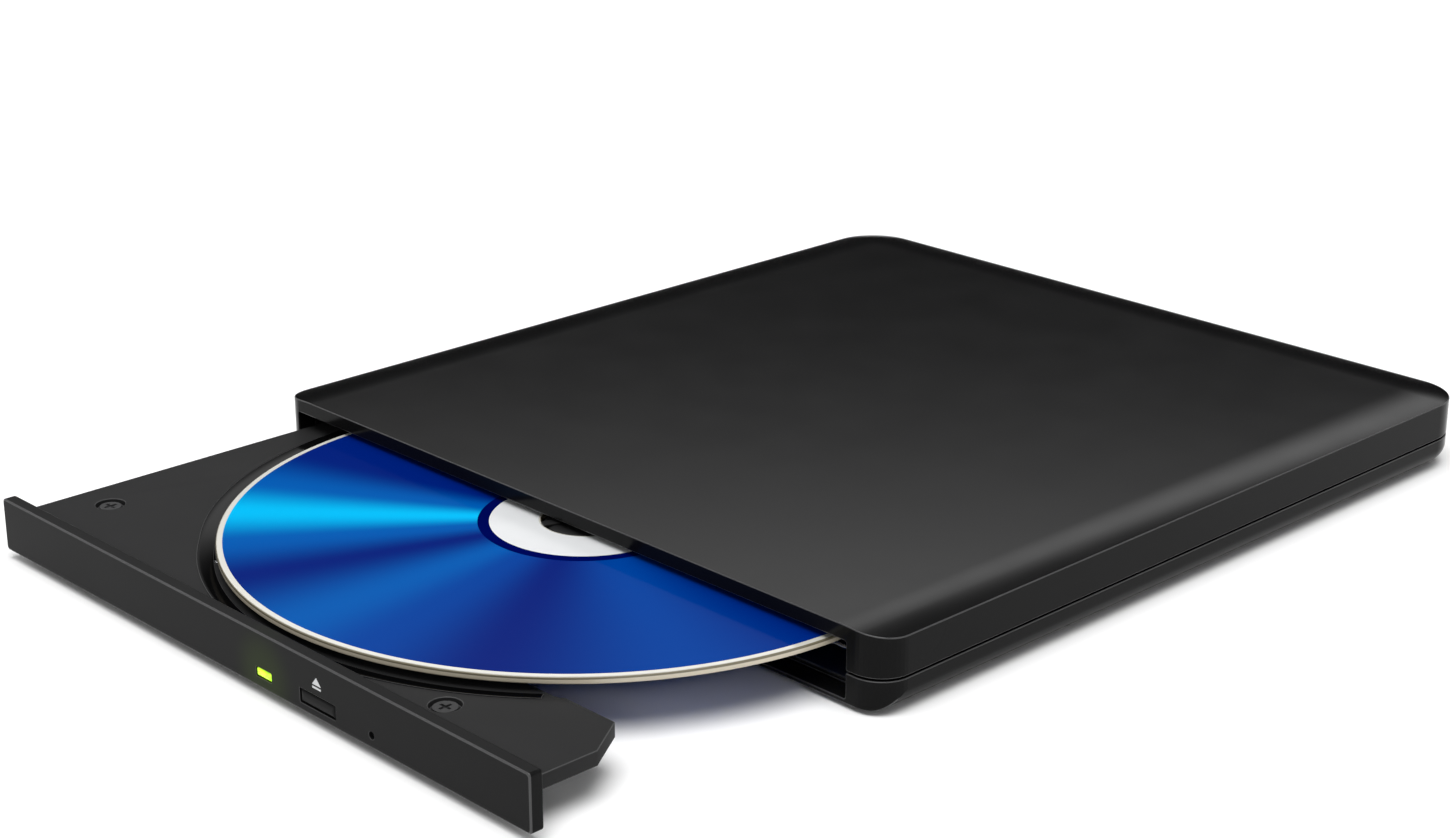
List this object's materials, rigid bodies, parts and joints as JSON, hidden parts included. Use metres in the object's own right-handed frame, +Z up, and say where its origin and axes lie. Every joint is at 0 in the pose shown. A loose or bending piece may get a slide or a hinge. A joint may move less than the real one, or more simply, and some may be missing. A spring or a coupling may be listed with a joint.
{
  "type": "external optical drive",
  "caption": "Slim external optical drive: flat black clamshell case with a sliding disc tray, front bezel with eject button and status window, and a disc on its spindle.",
  "frame": {"origin": "on the table, under the middle of the whole object with its tray half out", "axes": "+Z up, -Y out of the front opening along the tray's slide, +X to the right of someone facing the front"},
  "size_m": [0.149, 0.217, 0.0134],
  "materials": {
    "shell": "satin black moulded plastic",
    "tray": "fine-grained black moulded plastic",
    "bezel": "satin black moulded plastic",
    "rubber": "soft matte",
    "screw": "black oxide",
    "sheet_steel": "bright zinc-plated sheet",
    "bright_steel": "polished",
    "black_part": "black engineering plastic",
    "white_part": "off-white film",
    "circuit_board": "green solder mask",
    "status_light": "lit clear green-yellow",
    "brass": "wound copper and brass",
    "zinc": "die-cast",
    "lens": "clear, coated",
    "disc": "clear polycarbonate over a blue recording layer"
  },
  "bodies": {
    "housing": {"upper_shell": "shell", "lower_shell": "shell", "rubber_foot_front_left": "rubber", "rubber_foot_front_right": "rubber", "rubber_foot_rear_left": "rubber", "rubber_foot_rear_right": "rubber", "shell_screw_left": "screw", "shell_screw_right": "screw", "drive_base_pan": "sheet_steel", "drive_top_cover": "sheet_steel", "guide_channel_left": "black_part", "guide_channel_right": "black_part", "drive_board": "circuit_board", "drive_chip": "black_part", "flex_connector": "white_part", "drive_connector": "black_part", "bridge_board": "circuit_board", "bridge_chip": "black_part", "usb_socket_shell": "bright_steel", "usb_socket_tongue": "black_part", "latch_post": "sheet_steel", "flat_flex_cable": "white_part"},
    "rail_left": {"slide_rail_left": "bright_steel"},
    "rail_right": {"slide_rail_right": "bright_steel"},
    "tray": {"tray_frame": "tray", "front_bezel": "bezel", "status_window": "status_light", "status_led": "status_light", "tray_screw_left": "screw", "tray_screw_right": "screw", "tray_board": "circuit_board", "eject_switch": "black_part", "latch_solenoid": "brass", "latch_pin": "bright_steel", "tray_bottom_cover": "sheet_steel", "traverse_deck": "sheet_steel", "traverse_cover": "black_part", "deck_damper_1": "rubber", "deck_damper_2": "rubber", "deck_damper_3": "rubber", "spindle_stator": "sheet_steel", "guide_rod_a": "bright_steel", "guide_rod_b": "bright_steel", "sled_motor": "sheet_steel"},
    "spindle": {"turntable": "black_part", "turntable_pad": "rubber", "disc_claw_1": "black_part", "disc_claw_2": "black_part", "disc_claw_3": "black_part", "optical_disc": "disc"},
    "sled": {"pickup_sled": "zinc", "laser_module": "black_part", "screw_follower": "black_part"},
    "lens": {"lens_holder": "black_part", "objective_lens": "lens"},
    "lead_screw": {"lead_screw": "bright_steel"},
    "button": {"eject_button": "bezel"},
    "latch": {"latch_lever": "sheet_steel"}
  },
  "joints": [
    {"name": "tray_slide", "type": "slide", "parent": "housing", "child": "tray", "axis": [0, -1, 0], "range_m": [-0.06, 0.066], "deforming": ["flat_flex_cable"]},
    {"name": "rail_left_slide", "type": "slide", "parent": "housing", "child": "rail_left", "axis": [0, -1, 0], "range_m": [-0.03, 0.033]},
    {"name": "rail_right_slide", "type": "slide", "parent": "housing", "child": "rail_right", "axis": [0, -1, 0], "range_m": [-0.03, 0.033]},
    {"name": "spindle_spin", "type": "hinge", "parent": "tray", "child": "spindle", "pos_m": [0.0031, -0.0429, 0.0087], "axis": [0, 0, 1], "continuous": true},
    {"name": "sled_slide", "type": "slide", "parent": "tray", "child": "sled", "axis": [-0.766, -0.6428, 0], "range_m": [0, 0.031]},
    {"name": "lens_focus", "type": "slide", "parent": "sled", "child": "lens", "axis": [0, 0, 1], "range_m": [-0.0004, 0.0004], "stiffness_N_per_m": 40},
    {"name": "lead_screw_turn", "type": "hinge", "parent": "tray", "child": "lead_screw", "pos_m": [-0.0086, -0.02896, 0.0057], "axis": [-0.766, -0.6428, 0], "range_deg": [0, 3721]},
    {"name": "eject_press", "type": "slide", "parent": "tray", "child": "button", "axis": [0, 1, 0], "range_m": [0, 0.0008], "stiffness_N_per_m": 500, "springref_m": -0.0004},
    {"name": "latch_swing", "type": "hinge", "parent": "tray", "child": "latch", "pos_m": [0.0156, -0.0905, 0.0042], "axis": [0, 0, 1], "range_deg": [0, 16], "stiffness_Nm_per_rad": 0.002, "springref_deg": -5.73}
  ],
  "couplings": [
    {"joint": "rail_left_slide", "follows": "tray_slide", "ratio": 0.5},
    {"joint": "rail_right_slide", "follows": "tray_slide", "ratio": 0.5},
    {"joint": "lead_screw_turn", "follows": "sled_slide", "rad_per_m": 2094.4}
  ]
}
